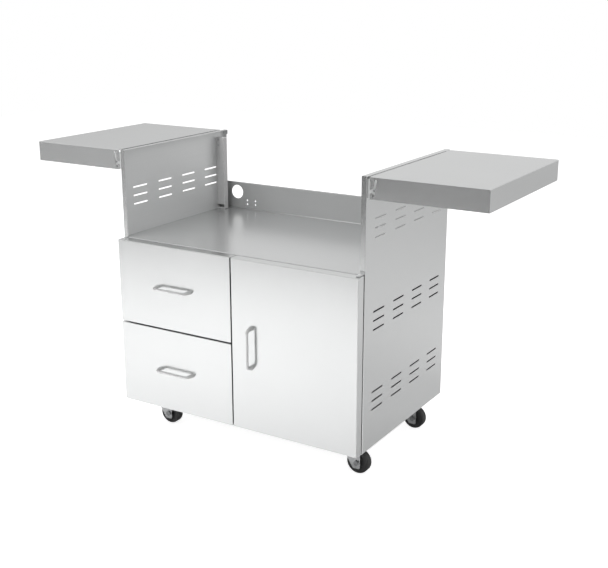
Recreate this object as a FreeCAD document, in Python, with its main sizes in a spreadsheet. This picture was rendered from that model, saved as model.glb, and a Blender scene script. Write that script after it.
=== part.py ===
"""Grill cart in folded stainless sheet: two drawers, a door, fold-down side shelves and four casters.

Millimetres, +Z up, +X to the cart's right, -Y towards the user. The origin lies on the floor, under
the middle of the cart's box. Every size is a cell of the sheet, and every formula below is bound to it.
"""
import FreeCAD, Part
import math
import os
import re

import Sketcher

SIZES = {
    # Cabinet of folded sheet
    "cart_width": 864.0,
    "panel_depth": 548.0,
    "panel_height": 814.0,
    "caster_height": 100.0,
    "sheet": 1.2,
    "flange": 16.0,
    "rear_flange": 11.5,
    "bend": 2.0,
    "fit": 0.3,
    "base_lip": 20.0,
    "deck_height": 539.5,
    "deck_lip": 25.0,
    "deck_side_lip": 20.0,
    "divider_depth": 20.0,
    # Louvre slots of the side panels, rows measured from the panel's bottom edge
    "slot_length": 68.0,
    "slot_width": 5.0,
    "slot_pitch": 125.3,
    "slot_row_pitch": 27.2,
    "lower_slots": 147.1,
    "middle_slots": 391.4,
    "upper_slots": 661.4,
    # Back panel and its holes
    "back_height": 633.0,
    "back_inset": 6.0,
    "hose_hole": 48.0,
    "hose_x": 374.0,
    "hose_drop": 35.0,
    "clip_hole": 6.0,
    "clip_x": 315.0,
    "clip_drop": 69.0,
    "clip_spacing_x": 34.0,
    "clip_spacing_z": 13.5,
    # Rear channels on the side panels, above the deck
    "channel_width": 21.5,
    "channel_depth": 31.5,
    "channel_setback": 22.0,
    "channel_drop": 22.0,
    "channel_slot_length": 27.0,
    "channel_slot_height": 10.0,
    "channel_slot_rise": 6.5,
    # Fronts of the drawers and the door
    "front_depth": 30.0,
    "front_gap": 3.5,
    "front_inset": 2.3,
    "front_split": 4.0,
    "front_top": 538.0,
    "front_bend": 2.0,
    "liner_sheet": 1.0,
    # Bow handles
    "handle_centres": 124.0,
    "handle_bar": 10.0,
    "handle_standoff": 27.0,
    "handle_bend": 12.0,
    "door_handle_inset": 71.0,
    # Drawer boxes and telescopic slides
    "box_height": 180.0,
    "box_depth": 470.0,
    "box_rise": 44.0,
    "box_bend": 3.0,
    "rail_length": 450.0,
    "rail_height": 45.0,
    "rail_depth": 12.7,
    "rail_reach": 10.0,
    "rail_sheet": 1.2,
    "rail_play": 0.4,
    "rail_rise": 60.0,
    "rail_setback": 5.0,
    "rail_clear": 2.0,
    "post_width": 40.0,
    "front_post_y": 148.0,
    "rear_post_inset": 56.0,
    # Door hinge, catch and strike
    "hinge_gap": 1.0,
    "pivot_inset": 8.0,
    "pin_diameter": 6.0,
    "pin_head": 9.0,
    "pin_head_height": 3.0,
    "running_clearance": 0.05,
    "bracket_sheet": 2.5,
    "hinge_width": 12.0,
    "hinge_nose": 8.0,
    "hinge_leg": 28.0,
    "hinge_cutout": 12.0,
    "hinge_tail": 40.0,
    "catch_width": 46.0,
    "catch_depth": 15.0,
    "catch_nose": 18.0,
    "catch_inset": 30.0,
    "strike_sheet": 2.0,
    "strike_margin": 3.0,
    # Fold-down shelves
    "shelf_length": 342.0,
    "shelf_depth": 533.0,
    "shelf_front": 2.7,
    "shelf_skirt": 62.0,
    "shelf_gap": 8.0,
    "shelf_bend": 2.0,
    "shelf_lip": 15.0,
    "lip_margin": 14.0,
    # Shelf hinge: places measured from the shelf's inner end and the skirt's bottom edge
    "pivot_x": 9.5,
    "pivot_z": 10.0,
    "guide_x": 17.0,
    "guide_z": 51.0,
    "guide_width": 7.0,
    "lock_x": 12.0,
    "lock_z": 24.0,
    "lock_play": 0.3,
    "entry_width": 9.4,
    "entry_lift": 0.7,
    "entry_overrun": 6.0,
    "entry_z": 18.3,
    "stud_recess": 0.2,
    "nut_diameter": 12.0,
    "nut_height": 4.0,
    # Shelf brackets and their bolts
    "plate_gap": 0.5,
    "bracket_reach": 30.0,
    "bracket_top": 8.0,
    "bracket_bottom": 60.0,
    "bracket_corner": 8.0,
    "bracket_flange": 36.0,
    "bolt_diameter": 6.0,
    "bolt_head": 10.0,
    "bolt_head_height": 4.0,
    "bolt_clearance": 0.2,
    "bolt_y": 26.5,
    "bolt_drop": 30.0,
    "bolt_pitch": 19.0,
    # Casters
    "caster_inset_x": 77.0,
    "caster_inset_front": 77.0,
    "caster_inset_back": 88.0,
    "caster_trail": 27.0,
    "wheel_diameter": 73.0,
    "tyre_width": 27.5,
    "tyre_inner": 55.0,
    "tyre_shoulder": 4.0,
    "tyre_round": 3.0,
    "rim_width": 23.0,
    "rim_wall": 4.0,
    "web_width": 14.0,
    "hub_width": 30.0,
    "hub_diameter": 18.0,
    "axle_diameter": 10.0,
    "axle_head": 16.0,
    "axle_head_height": 4.5,
    "fork_gap": 31.0,
    "fork_sheet": 3.0,
    "fork_end": 12.0,
    "fork_drop": 19.0,
    "fork_round": 6.0,
    "crown_back": 21.0,
    "crown_cheek": 9.0,
    "crown_height": 85.0,
    "race_diameter": 48.0,
    "race_height": 7.0,
    "race_gap": 0.5,
    "upper_race": 40.0,
    "plate_size": 62.0,
    "plate_sheet": 3.0,
    "plate_corner": 6.0,
    "screw_spacing": 46.0,
    "screw_diameter": 6.0,
    "screw_head": 10.0,
    "screw_head_height": 4.0,
    "screw_tail": 5.0,
    "kingpin_diameter": 12.0,
    "kingpin_head": 18.0,
    "kingpin_head_height": 2.0,
}

# Places that follow from the sizes
PLACES = {
    "half_width": "cart_width/2",
    "panel_front": "(front_gap + front_depth + handle_standoff - panel_depth)/2",
    "panel_top": "caster_height + panel_height",
    "inner_half": "half_width - sheet - fit",
    "back_face": "panel_depth - back_inset",
    "front_face": "panel_front - front_gap - front_depth",
    "front_back": "panel_front - front_gap",
    "front_bottom": "caster_height + hinge_gap",
    "front_width": "(cart_width - 2*front_inset - front_split)/2",
    "front_centre": "(front_width + front_split)/2",
    "front_rise": "front_top - hinge_gap",
    "drawer_rise": "(front_rise - front_split)/2",
    "deck_underside": "deck_height - sheet",
    "rail_plane": "half_width - flange - rail_clear",
    "bay_width": "rail_plane - divider_depth/2",
    "bay_middle": "(rail_plane + divider_depth/2)/2",
    "pivot_line": "half_width - front_inset - pivot_inset",
    "pivot_depth": "front_gap + front_depth/2",
    "plate_plane": "shelf_front + sheet + plate_gap",
    "shelf_middle": "panel_front + shelf_front + shelf_depth/2",
    "stud_length": "sheet + plate_gap + bracket_sheet - stud_recess",
    "plate_top": "caster_height + sheet",
    "fork_width": "fork_gap + 2*fork_sheet",
    "race_top": "crown_height + race_height",
    "wheel_radius": "wheel_diameter/2",
}

SLOT_GROUPS = 4
SLOT_ROWS = 3
TOUCH = 1e-6

doc = FreeCAD.newDocument("grill_cart")
sheet = doc.addObject("Spreadsheet::Sheet", "Dims")
for row, (size_name, size) in enumerate(SIZES.items(), 1):
    sheet.set(f"A{row}", str(size))
    sheet.setAlias(f"A{row}", size_name)
doc.recompute()

pieces = []


def bound(formula):
    """Spell a formula of sizes and places out as references to the sheet's cells."""
    def spell(word):
        name = word[0]
        if name in PLACES:
            return f"({bound(PLACES[name])})"
        return f"Dims.{name}" if name in SIZES else name
    return re.sub(r"[a-z_]+", spell, formula)


def value(formula):
    """Work a formula out as a number."""
    return float(sheet.evalExpression(bound(formula)))


def keep(label, thing):
    """Name a sub-part and put it on the list of those that are written."""
    thing.Label = label
    pieces.append(thing)
    return thing


def new_body(label, x="0", y="0", z="0"):
    """Start a body whose place in the cart is bound to the sheet."""
    body = doc.addObject("PartDesign::Body", label)
    for axis, formula in zip("xyz", (x, y, z)):
        body.setExpression(f"Placement.Base.{axis}", bound(formula))
    return body


def mirrored(thing, axis, level):
    """Mirror a sub-part in the plane that crosses an axis at a level."""
    image = doc.addObject("Part::Mirroring", f"{thing.Name}_image")
    image.Source = thing
    image.Normal = FreeCAD.Vector(*(float(name == axis) for name in "xyz"))
    image.setExpression(f"Base.{axis}", bound(level))
    return image


def group(label, *things):
    """Collect like pieces of one kind as separate solids of one sub-part."""
    collected = doc.addObject("Part::Compound", label)
    collected.Links = list(things)
    return keep(label, collected)


def origin_part(body, role):
    """Find one of a body's own origin planes or axes."""
    return next(part for part in body.Origin.OriginFeatures if part.Role == role)


def new_sketch(body, name, plane, offset="0"):
    """Start a sketch on one of a body's origin planes, moved along that plane's axis."""
    sketch = body.newObject("Sketcher::SketchObject", name)
    sketch.AttachmentSupport = (origin_part(body, f"{plane}_Plane"), "")
    sketch.MapMode = "FlatFace"
    sign = -1 if plane == "XZ" else 1
    sketch.setExpression("AttachmentOffset.Base.z", bound(f"{sign}*({offset})"))
    return sketch


def faces_back(sketch):
    """Tell whether a sketch's normal points against its axis, as it does on the XZ plane."""
    return sketch.AttachmentSupport[0][0].Role == "XZ_Plane"


def locate(sketch, element, point, place):
    """Bind a point of a sketch to its two formulas, measured from the sketch's origin."""
    for kind, formula in zip(("DistanceX", "DistanceY"), place):
        rule = Sketcher.Constraint(kind, -1, 1, element, point, value(formula))
        number = sketch.addConstraint(rule)
        sketch.setExpression(f"Constraints[{number}]", bound(formula))


def set_radius(sketch, element, formula):
    """Bind the radius of a circle or an arc."""
    number = sketch.addConstraint(Sketcher.Constraint("Radius", element, value(formula)))
    sketch.setExpression(f"Constraints[{number}]", bound(formula))


def spot(place):
    """Work out where a pair of formulas puts a point."""
    return FreeCAD.Vector(value(place[0]), value(place[1]), 0)


def outline(sketch, *places):
    """Draw a closed outline of straight lines through places given as pairs of formulas."""
    first = sketch.GeometryCount
    spots = [spot(place) for place in places]
    count = len(spots)
    for index in range(count):
        sketch.addGeometry(Part.LineSegment(spots[index], spots[(index + 1) % count]), False)
    for index in range(count):
        following = first + (index + 1) % count
        sketch.addConstraint(Sketcher.Constraint("Coincident", first + index, 2, following, 1))
    for index, place in enumerate(places):
        locate(sketch, first + index, 1, place)


def rectangle(sketch, x_a, y_a, x_b, y_b):
    """Draw a rectangle between two opposite corners."""
    outline(sketch, (x_a, y_a), (x_b, y_a), (x_b, y_b), (x_a, y_b))


def circle(sketch, x, y, diameter):
    """Draw a circle."""
    element = sketch.GeometryCount
    radius = f"({diameter})/2"
    sketch.addGeometry(Part.Circle(spot((x, y)), FreeCAD.Vector(0, 0, 1), value(radius)), False)
    locate(sketch, element, 3, (x, y))
    set_radius(sketch, element, radius)


def slot(sketch, start, end, width):
    """Draw a slot with round ends about two places."""
    first = sketch.GeometryCount
    up = FreeCAD.Vector(0, 0, 1)
    radius = f"({width})/2"
    a, b = spot(start), spot(end)
    turn = math.atan2(b.y - a.y, b.x - a.x)
    side = FreeCAD.Vector(-math.sin(turn), math.cos(turn), 0) * value(radius)
    quarter = math.pi / 2
    sketch.addGeometry(Part.ArcOfCircle(Part.Circle(a, up, value(radius)), turn + quarter, turn + 3 * quarter))
    sketch.addGeometry(Part.LineSegment(a - side, b - side))
    sketch.addGeometry(Part.ArcOfCircle(Part.Circle(b, up, value(radius)), turn - quarter, turn + quarter))
    sketch.addGeometry(Part.LineSegment(b + side, a + side))
    for index in range(4):
        following = first + (index + 1) % 4
        sketch.addConstraint(Sketcher.Constraint("Tangent", first + index, 2, following, 1))
    sketch.addConstraint(Sketcher.Constraint("Equal", first, first + 2))
    set_radius(sketch, first, radius)
    locate(sketch, first, 3, start)
    locate(sketch, first + 2, 3, end)


def pad(sketch, length, along=1):
    """Raise a sketch along its axis, or against it where along is -1."""
    feature = sketch.getParentGeoFeatureGroup().newObject("PartDesign::Pad", f"{sketch.Name}_pad")
    feature.Profile = sketch
    feature.setExpression("Length", bound(length))
    feature.Reversed = (along < 0) != faces_back(sketch)
    doc.recompute()
    return feature


def pocket(sketch, depth=None):
    """Cut a sketch to a depth each way from its plane, or right through the body."""
    body = sketch.getParentGeoFeatureGroup()
    before = body.Shape.Volume
    feature = body.newObject("PartDesign::Pocket", f"{sketch.Name}_cut")
    feature.Profile = sketch
    feature.Midplane = True
    if depth is None:
        feature.Type = "ThroughAll"
    else:
        feature.setExpression("Length", bound(f"2*({depth})"))
    doc.recompute()
    if body.Shape.Volume >= before:
        raise ValueError(f"{sketch.Name} cuts nothing from {body.Name}")
    return feature


def revolve(sketch, axis):
    """Turn a sketch round one of its body's origin axes."""
    body = sketch.getParentGeoFeatureGroup()
    feature = body.newObject("PartDesign::Revolution", f"{sketch.Name}_turned")
    feature.Profile = sketch
    feature.ReferenceAxis = (origin_part(body, f"{axis}_Axis"), [""])
    feature.Angle = 360
    doc.recompute()
    return feature


def lies(edge, axis, level):
    """Tell whether all of an edge's ends lie at one level of an axis."""
    return all(abs(getattr(end.Point, axis) - level) < TOUCH for end in edge.Vertexes)


def fillet(base, radius, chosen):
    """Round the edges of a feature that a test picks out."""
    body = base.getParentGeoFeatureGroup()
    names = [f"Edge{number}" for number, edge in enumerate(base.Shape.Edges, 1) if chosen(edge)]
    feature = body.newObject("PartDesign::Fillet", f"{base.Name}_round")
    feature.Base = (base, names)
    feature.setExpression("Radius", bound(radius))
    doc.recompute()
    return feature


def shell(base, wall, *openings):
    """Hollow a feature to sheet, open at the faces at the given (axis, level) pairs."""
    body = base.getParentGeoFeatureGroup()
    names = []
    for number, face in enumerate(base.Shape.Faces, 1):
        middle = face.CenterOfMass
        if any(abs(getattr(middle, axis) - level) < TOUCH for axis, level in openings):
            names.append(f"Face{number}")
    feature = body.newObject("PartDesign::Thickness", f"{base.Name}_sheet")
    feature.Base = (base, names)
    feature.setExpression("Value", bound(wall))
    feature.Reversed = True
    doc.recompute()
    return feature


def repeat(feature, *steps):
    """Repeat a feature along axes, each step being (axis, count, pitch)."""
    body = feature.getParentGeoFeatureGroup()
    whole = body.newObject("PartDesign::MultiTransform", f"{feature.Name}_grid")
    whole.Originals = [feature]
    rows = []
    for axis, count, pitch in steps:
        line = body.newObject("PartDesign::LinearPattern", f"{feature.Name}_{axis}_row")
        line.Direction = (origin_part(body, f"{axis}_Axis"), [""])
        line.Occurrences = count
        line.setExpression("Length", bound(f"{count - 1}*({pitch})"))
        rows.append(line)
    whole.Transformations = rows
    body.Tip = whole
    doc.recompute()
    return whole


def side_panel(label, side):
    """Folded pan with flanges turned inwards and three sets of louvre slots; side is 1 on the right."""
    panel = new_body(label, f"{side}*half_width", "panel_front", "caster_height")
    plan = new_sketch(panel, "panel_plan", "XY")
    rectangle(plan, "0", "0", f"-{side}*flange", "panel_depth")
    block = pad(plan, "panel_height")
    folded = fillet(block, "bend", lambda edge: lies(edge, "x", 0))
    shell(folded, "sheet", ("x", -side * value("flange")))
    louvre = new_sketch(panel, "louvre", "YZ")
    start = f"(panel_depth - {SLOT_GROUPS - 1}*slot_pitch - slot_length + slot_width)/2"
    end = f"{start} + slot_length - slot_width"
    for rows in ("lower_slots", "middle_slots", "upper_slots"):
        height = f"{rows} - slot_row_pitch"
        slot(louvre, (start, height), (end, height), "slot_width")
    repeat(pocket(louvre, "2*sheet"), ("Y", SLOT_GROUPS, "slot_pitch"), ("Z", SLOT_ROWS, "slot_row_pitch"))
    rear_edge = new_sketch(panel, "rear_edge", "XZ", "panel_depth")
    rectangle(rear_edge, f"-{side}*rear_flange", "flange", f"-{side}*2*flange", "panel_height - flange")
    pocket(rear_edge, "2*sheet")
    bolt_holes = new_sketch(panel, "bolt_holes", "YZ")
    for drop in ("bolt_drop", "bolt_drop + bolt_pitch"):
        for y in ("shelf_front + bolt_y", "shelf_front + shelf_depth - bolt_y"):
            circle(bolt_holes, y, f"panel_height - ({drop})", "bolt_diameter + 2*bolt_clearance")
    pocket(bolt_holes, "2*sheet")
    if side > 0:
        cutout = new_sketch(panel, "hinge_cutout", "XZ")
        right = "pivot_line - half_width + hinge_width/2 + fit"
        low = "front_top + hinge_gap - fit"
        rectangle(cutout, "-2*flange", low, right, f"{low} + hinge_cutout")
        pocket(cutout, "2*sheet")
    return keep(label, panel)


def base_pan():
    """Tray that stands on the side panels' bottom flanges and carries the casters."""
    pan = new_body("base_pan", "0", "panel_front", "plate_top")
    plan = new_sketch(pan, "base_plan", "XY")
    rectangle(plan, "-inner_half", "bend + fit", "inner_half", "back_face - fit")
    block = pad(plan, "base_lip")
    folded = fillet(block, "bend", lambda edge: lies(edge, "z", 0))
    shell(folded, "sheet", ("z", value("base_lip")))
    holes = new_sketch(pan, "caster_holes", "XY")
    x = "caster_inset_x - half_width - screw_spacing/2"
    circle(holes, x, "caster_inset_front - screw_spacing/2", "screw_diameter + 2*bolt_clearance")
    repeat(pocket(holes, "2*sheet"), *caster_grid())
    return keep("base_pan", pan)


def caster_grid():
    """Steps that take one caster screw to all the others."""
    across, along = "cart_width - 2*caster_inset_x", "panel_depth - caster_inset_front - caster_inset_back"
    return ("X", 2, "screw_spacing"), ("Y", 2, "screw_spacing"), ("X", 2, across), ("Y", 2, along)


def back_panel():
    """Pan with its edges turned backwards, with the hose hole and four small holes."""
    panel = new_body("back_panel", "0", "panel_front + back_face", "plate_top + fit")
    front = new_sketch(panel, "back_front", "XZ")
    half, top = "half_width - bend - fit", "back_height - sheet - fit"
    rectangle(front, f"-({half})", "0", half, top)
    block = pad(front, "back_inset - sheet")
    folded = fillet(block, "bend", lambda edge: lies(edge, "y", 0))
    shell(folded, "sheet", ("y", value("back_inset - sheet")))
    holes = new_sketch(panel, "back_holes", "XZ")
    circle(holes, "-hose_x", f"{top} - hose_drop", "hose_hole")
    for x in ("-clip_x - clip_spacing_x/2", "-clip_x + clip_spacing_x/2"):
        for drop in ("clip_drop - clip_spacing_z/2", "clip_drop + clip_spacing_z/2"):
            circle(holes, x, f"{top} - ({drop})", "clip_hole")
    pocket(holes, "2*sheet")
    return keep("back_panel", panel)


def grill_deck():
    """Plate that carries the grill head, notched round the front flanges, with turned-down lips."""
    deck = new_body("grill_deck", "0", "panel_front", "caster_height + deck_underside")
    front_half = "half_width - flange - fit"
    notch = "sheet + bracket_sheet + fit"
    rear = "back_face - fit"
    right = [(front_half, "0"), (front_half, notch), ("inner_half", notch), ("inner_half", rear)]
    left = [(f"-({x})", y) for x, y in reversed(right)]
    plan = new_sketch(deck, "deck_plan", "XY")
    outline(plan, *right, *left)
    pad(plan, "sheet")
    front_lip = new_sketch(deck, "front_lip", "XY")
    rectangle(front_lip, f"-({front_half})", "0", front_half, "sheet")
    pad(front_lip, "deck_lip", -1)
    side_lips = new_sketch(deck, "side_lips", "XY")
    for sign in ("", "-"):
        rectangle(side_lips, f"{sign}(inner_half)", notch, f"{sign}(inner_half - sheet)", rear)
    folded = pad(side_lips, "deck_side_lip", -1)
    top = value("sheet")
    rounded = fillet(folded, "bend", lambda edge: lies(edge, "y", 0) and lies(edge, "z", top))
    fillet(rounded, "bend - sheet", lambda edge: lies(edge, "y", top) and lies(edge, "z", 0))
    return keep("grill_deck", deck)


def centre_divider():
    """Folded pan between the drawers and the door's compartment."""
    divider = new_body("centre_divider", "0", "panel_front", "plate_top + sheet")
    plan = new_sketch(divider, "divider_plan", "XY")
    rectangle(plan, "-divider_depth/2", "2*(bend + fit)", "divider_depth/2", "back_face - bend - 2*fit")
    block = pad(plan, "deck_underside - 2*sheet")
    left = -value("divider_depth/2")
    folded = fillet(block, "bend", lambda edge: lies(edge, "x", left))
    shell(folded, "sheet", ("x", -left))
    return keep("centre_divider", divider)


def rear_channel(label, side):
    """Upright channel on a side panel's inner face near the back, with a slot above the deck in its front."""
    channel = new_body(label, f"{side}*(half_width - sheet)",
                       "panel_front + back_face - channel_setback - channel_width",
                       "caster_height + deck_height + fit")
    plan = new_sketch(channel, "channel_plan", "XY")
    rectangle(plan, "0", "0", f"-{side}*channel_depth", "channel_width")
    block = pad(plan, "panel_height - channel_drop - deck_height - fit")
    inner = -side * value("channel_depth")
    folded = fillet(block, "bend", lambda edge: lies(edge, "x", inner))
    shell(folded, "sheet", ("x", 0))
    opening = new_sketch(channel, "channel_slot", "XZ")
    near, far = "(channel_depth - channel_slot_length)/2", "(channel_depth + channel_slot_length)/2"
    low = "channel_slot_rise - fit"
    rectangle(opening, f"-{side}*{near}", low, f"-{side}*{far}", f"{low} + channel_slot_height")
    pocket(opening, "2*sheet")
    return keep(label, channel)


def slide_post(label, y):
    """Upright channel on the left panel that brings the drawer slides clear of the flange."""
    post = new_body(label, "sheet - half_width", f"panel_front + {y}", "plate_top + base_lip + fit")
    plan = new_sketch(post, "post_plan", "XY")
    depth = "half_width - sheet - rail_plane"
    rectangle(plan, "0", "-post_width/2", depth, "post_width/2")
    block = pad(plan, "deck_underside - deck_side_lip - base_lip - sheet - 2*fit")
    face = value(depth)
    folded = fillet(block, "bend", lambda edge: lies(edge, "x", face))
    shell(folded, "sheet", ("x", 0))
    return keep(label, post)


def front_pan(label, x, z, height):
    """Folded outer skin of a drawer or the door, open at the back; drawn flat and stood upright."""
    pan = new_body(label, x, "front_back", z)
    pan.Placement.Rotation = FreeCAD.Rotation(FreeCAD.Vector(1, 0, 0), 90)
    face = new_sketch(pan, "front_outline", "XY")
    rectangle(face, "-front_width/2", "0", "front_width/2", height)
    block = pad(face, "front_depth")
    folded = fillet(block, "front_bend", lambda edge: not lies(edge, "z", 0))
    shell(folded, "sheet", ("z", 0))
    return keep(label, pan)


def front_liner(label, x, z, height):
    """Flat sheet that closes the back of a drawer front or the door."""
    liner = new_body(label, x, "front_back", z)
    face = new_sketch(liner, "liner_outline", "XZ")
    edge_gap = "(sheet + fit)"
    half = f"(front_width/2 - {edge_gap})"
    rectangle(face, f"-{half}", edge_gap, half, f"{height} - {edge_gap}")
    plate = pad(face, "liner_sheet", -1)
    fillet(plate, "front_bend", lambda edge: edge.BoundBox.YLength > TOUCH and edge.BoundBox.XLength < TOUCH
           and edge.BoundBox.ZLength < TOUCH)
    return keep(label, liner)


def bow_handle(label, x, z, upright):
    """Round bar bent to a bow, standing on a front by its two ends."""
    handle = new_body(label, x, "front_face", z)
    if upright:
        handle.Placement.Rotation = FreeCAD.Rotation(FreeCAD.Vector(0, 1, 0), 90)
    half = "handle_centres/2"
    reach = "handle_bar/2 - handle_standoff"
    path = new_sketch(handle, "handle_path", "XY")
    draw_bow(path, half, reach)
    bar = new_sketch(handle, "handle_section", "XZ")
    circle(bar, f"-{half}", "0", "handle_bar")
    pipe = handle.newObject("PartDesign::AdditivePipe", "handle_bow")
    pipe.Profile = bar
    pipe.Spine = path
    doc.recompute()
    return keep(label, handle)


def draw_bow(path, half, reach):
    """Draw the line of a bow handle: two legs and a grip joined by tangent arcs."""
    up = FreeCAD.Vector(0, 0, 1)
    x, y, bend = value(half), value(reach), value("handle_bend")
    quarter = math.pi / 2
    near, far = FreeCAD.Vector(-x + bend, y + bend, 0), FreeCAD.Vector(x - bend, y + bend, 0)
    legs_end = y + bend
    path.addGeometry(Part.LineSegment(FreeCAD.Vector(-x, 0, 0), FreeCAD.Vector(-x, legs_end, 0)))
    path.addGeometry(Part.ArcOfCircle(Part.Circle(near, up, bend), 2 * quarter, 3 * quarter))
    path.addGeometry(Part.LineSegment(FreeCAD.Vector(-x + bend, y, 0), FreeCAD.Vector(x - bend, y, 0)))
    path.addGeometry(Part.ArcOfCircle(Part.Circle(far, up, bend), 3 * quarter, 4 * quarter))
    path.addGeometry(Part.LineSegment(FreeCAD.Vector(x, legs_end, 0), FreeCAD.Vector(x, 0, 0)))
    for index in range(4):
        path.addConstraint(Sketcher.Constraint("Tangent", index, 2, index + 1, 1))
    path.addConstraint(Sketcher.Constraint("Vertical", 0))
    path.addConstraint(Sketcher.Constraint("Horizontal", 2))
    path.addConstraint(Sketcher.Constraint("Equal", 1, 3))
    set_radius(path, 1, "handle_bend")
    locate(path, 0, 1, (f"-{half}", "0"))
    locate(path, 4, 2, (half, "0"))
    number = path.addConstraint(Sketcher.Constraint("DistanceY", -1, 1, 2, 1, y))
    path.setExpression(f"Constraints[{number}]", bound(reach))


def drawer_box(label, z):
    """Folded tray of a drawer, open at the top."""
    box = new_body(label, "-bay_middle", "front_back", f"{z} + box_rise")
    plan = new_sketch(box, "box_plan", "XY")
    half = "(bay_width/2 - rail_depth)"
    rectangle(plan, f"-{half}", "0", half, "box_depth")
    block = pad(plan, "box_height")
    top = value("box_height")
    folded = fillet(block, "box_bend", lambda edge: not lies(edge, "z", top))
    shell(folded, "liner_sheet", ("z", top))
    return keep(label, box)


def rail_section(sketch, back, mouth, half):
    """Draw a rail's section: a web at the back, and two flanges that end at the mouth."""
    inner = f"{back} + rail_sheet" if value(back) < value(mouth) else f"{back} - rail_sheet"
    low = f"({half} - rail_sheet)"
    outline(sketch, (back, f"-{half}"), (mouth, f"-{half}"), (mouth, f"-{low}"), (inner, f"-{low}"),
            (inner, low), (mouth, low), (mouth, half), (back, half))


def slide_rails(label, z, back, mouth, half):
    """One member of a drawer's two slides, left and right."""
    height = f"{z} + box_rise + rail_rise"
    rail = new_body(f"{label}_left", "-rail_plane", "panel_front + rail_setback", height)
    section = new_sketch(rail, "rail_section", "XZ")
    rail_section(section, back, mouth, half)
    pad(section, "rail_length")
    return group(label, rail, mirrored(rail, "x", "-bay_middle"))


def drawer(name, z):
    """Front, liner, box, handle and slides of one drawer."""
    front_pan(f"{name}_drawer_front", "-front_centre", z, "drawer_rise")
    front_liner(f"{name}_drawer_liner", "-front_centre", z, "drawer_rise")
    drawer_box(f"{name}_drawer_box", z)
    bow_handle(f"{name}_drawer_handle", "-front_centre", f"{z} + drawer_rise/2", False)
    nest = "(rail_sheet + rail_play)"
    outer_half = "rail_height/2"
    middle_half = f"({outer_half} - {nest})"
    inner_half = f"({middle_half} - {nest})"
    slide_rails(f"{name}_outer_rails", z, "0", "rail_reach", outer_half)
    slide_rails(f"{name}_middle_rails", z, nest, f"rail_depth - {nest}", middle_half)
    slide_rails(f"{name}_inner_rails", z, "rail_depth", f"2*{nest}", inner_half)


def door_skin():
    """Outer skin of the door, with a hole for each hinge pin."""
    skin = front_pan("door_skin", "front_centre", "front_bottom", "front_rise")
    holes = new_sketch(skin, "pin_holes", "XZ")
    circle(holes, "front_width/2 - pivot_inset", "front_depth/2", "pin_diameter")
    pocket(holes)
    return skin


def hinge_pins():
    """Pins at the door's top and bottom, each with a head inside the skin."""
    pin = new_body("hinge_pin_top", "pivot_line", "panel_front - pivot_depth", "caster_height + front_top")
    section = new_sketch(pin, "pin_section", "XZ")
    head = "pin_head/2"
    under = "-sheet - pin_head_height"
    tip = "hinge_gap + bracket_sheet"
    outline(section, ("0", under), (head, under), (head, "-sheet"), ("pin_diameter/2", "-sheet"),
            ("pin_diameter/2", tip), ("0", tip))
    revolve(section, "Z")
    return group("door_hinge_pins", pin, mirrored(pin, "z", "caster_height + (front_top + hinge_gap)/2"))


def hinge_bracket(label, z, tail, leg):
    """Tongue that holds a hinge pin in front of the right panel, with an upright leg behind its flange."""
    bracket = new_body(label, "pivot_line", "panel_front", z)
    plan = new_sketch(bracket, "tongue_plan", "XY")
    nose = "-pivot_depth - hinge_nose"
    rectangle(plan, "-hinge_width/2", nose, "hinge_width/2", tail)
    tongue = pad(plan, "bracket_sheet")
    front = value(nose)
    fillet(tongue, "hinge_width/2 - fit", lambda edge: lies(edge, "y", front) and edge.BoundBox.ZLength > TOUCH)
    if leg:
        upright = new_sketch(bracket, "leg_plan", "XY")
        rectangle(upright, "-hinge_width/2", "sheet", "hinge_width/2", tail)
        pad(upright, "hinge_leg")
    hole = new_sketch(bracket, "pin_hole", "XY")
    circle(hole, "0", "-pivot_depth", "pin_diameter + 2*running_clearance")
    pocket(hole)
    return keep(label, bracket)


def magnet_catch():
    """Catch under the deck, with a nose below the deck's lip that meets the strike."""
    catch = new_body("door_magnet_catch", "divider_depth/2 + catch_inset", "panel_front",
                     "caster_height + deck_underside")
    side = new_sketch(catch, "catch_side", "YZ")
    back = "sheet + bend + catch_depth"
    step = "-deck_lip - fit"
    low = f"{step} - catch_nose"
    nose = "strike_sheet + fit - front_gap"
    outline(side, ("sheet + bend", "0"), (back, "0"), (back, low), (nose, low), (nose, step),
            ("sheet + bend", step))
    pad(side, "catch_width")
    return keep("door_magnet_catch", catch)


def strike_plate():
    """Steel plate on the door's liner that the catch holds."""
    low = "caster_height + deck_underside - deck_lip - fit - catch_nose"
    strike = new_body("door_strike", "divider_depth/2 + catch_inset", "front_back", low)
    face = new_sketch(strike, "strike_face", "XZ")
    rectangle(face, "-strike_margin", "0", "catch_width + strike_margin", "catch_nose")
    pad(face, "strike_sheet")
    return keep("door_strike", strike)


def shelf(label, side):
    """Folded shelf, open below and at its inner end, with guide slots cut in its front and rear skirts."""
    tray = new_body(label, f"{side}*(half_width + shelf_gap)", "panel_front + shelf_front",
                    "panel_top - shelf_skirt")
    plan = new_sketch(tray, "shelf_plan", "XY")
    rectangle(plan, "0", "0", f"{side}*shelf_length", "shelf_depth")
    block = pad(plan, "shelf_skirt")
    folded = fillet(block, "shelf_bend", lambda edge: not (lies(edge, "z", 0) or lies(edge, "x", 0)))
    shell(folded, "sheet", ("z", 0), ("x", 0))
    guide = new_sketch(tray, "guide_slot", "XZ")
    slot(guide, (f"{side}*pivot_x", "pivot_z"), (f"{side}*guide_x", "guide_z"), "guide_width")
    pocket(guide)
    entry = new_sketch(tray, "guide_entry", "XZ")
    slot(entry, (f"{side}*lock_x", "lock_z + entry_lift"), (f"-{side}*entry_overrun", "entry_z"), "entry_width")
    pocket(entry)
    lip = new_sketch(tray, "inner_lip", "XY", "shelf_skirt - sheet")
    rectangle(lip, "0", "lip_margin", f"{side}*sheet", "shelf_depth - lip_margin")
    pad(lip, "shelf_lip - sheet", -1)
    return keep(label, tray)


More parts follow.
